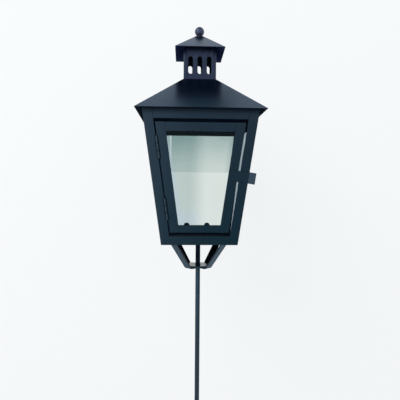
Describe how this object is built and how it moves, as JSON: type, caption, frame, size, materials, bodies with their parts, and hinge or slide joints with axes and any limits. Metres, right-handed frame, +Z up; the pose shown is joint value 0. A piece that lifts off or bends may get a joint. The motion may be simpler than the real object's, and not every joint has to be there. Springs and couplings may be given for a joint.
{
  "type": "garden stake lantern",
  "caption": "Black sheet-steel candle lantern with tapered glazed sides, a hinged door, a hipped roof with vented cupola, and a ground stake to stand it in soil.",
  "frame": {"origin": "on the stake's axis at the ground line, which lies above the stake's point by the depth it is pushed in", "axes": "+Z up along the stake, the door faces -Y, its hinges are on the -X side"},
  "size_m": [0.196, 0.196, 1.1044],
  "materials": {
    "black_steel": "satin",
    "window_glass": "clear",
    "plated_steel": "zinc plated"
  },
  "bodies": {
    "lantern": {"stake": "black_steel", "stake_stem": "black_steel", "strap_collar": "black_steel", "strap_front_left": "black_steel", "strap_front_right": "black_steel", "strap_rear_right": "black_steel", "strap_rear_left": "black_steel", "floor_plate": "black_steel", "post_front_left": "black_steel", "post_front_right": "black_steel", "post_rear_right": "black_steel", "post_rear_left": "black_steel", "bottom_rail_front": "black_steel", "bottom_rail_right": "black_steel", "bottom_rail_rear": "black_steel", "bottom_rail_left": "black_steel", "top_rail_front": "black_steel", "top_rail_right": "black_steel", "top_rail_rear": "black_steel", "top_rail_left": "black_steel", "pane_left": "window_glass", "pane_right": "window_glass", "pane_rear": "window_glass", "pane_clips_left": "black_steel", "pane_clips_right": "black_steel", "pane_clips_rear": "black_steel", "roof": "black_steel", "cupola": "black_steel", "cupola_cap": "black_steel", "finial_ball": "black_steel", "finial_washer": "plated_steel", "finial_nut": "plated_steel", "hinge_frame_leaf_upper": "black_steel", "hinge_frame_leaf_lower": "black_steel", "hinge_pin_upper": "black_steel", "hinge_pin_lower": "black_steel"},
    "door": {"door_stile_left": "black_steel", "door_stile_right": "black_steel", "door_top_rail": "black_steel", "door_bottom_rail": "black_steel", "door_pane": "window_glass", "door_pane_clips": "black_steel", "hinge_door_leaf_upper": "black_steel", "hinge_door_leaf_lower": "black_steel", "latch_strip": "black_steel"}
  },
  "joints": [
    {"name": "door_hinge", "type": "hinge", "parent": "lantern", "child": "door", "pos_m": [-0.05201, -0.07004, 0.601], "axis": [0.1313, 0.1313, -0.9826], "range_deg": [0, 170]}
  ]
}
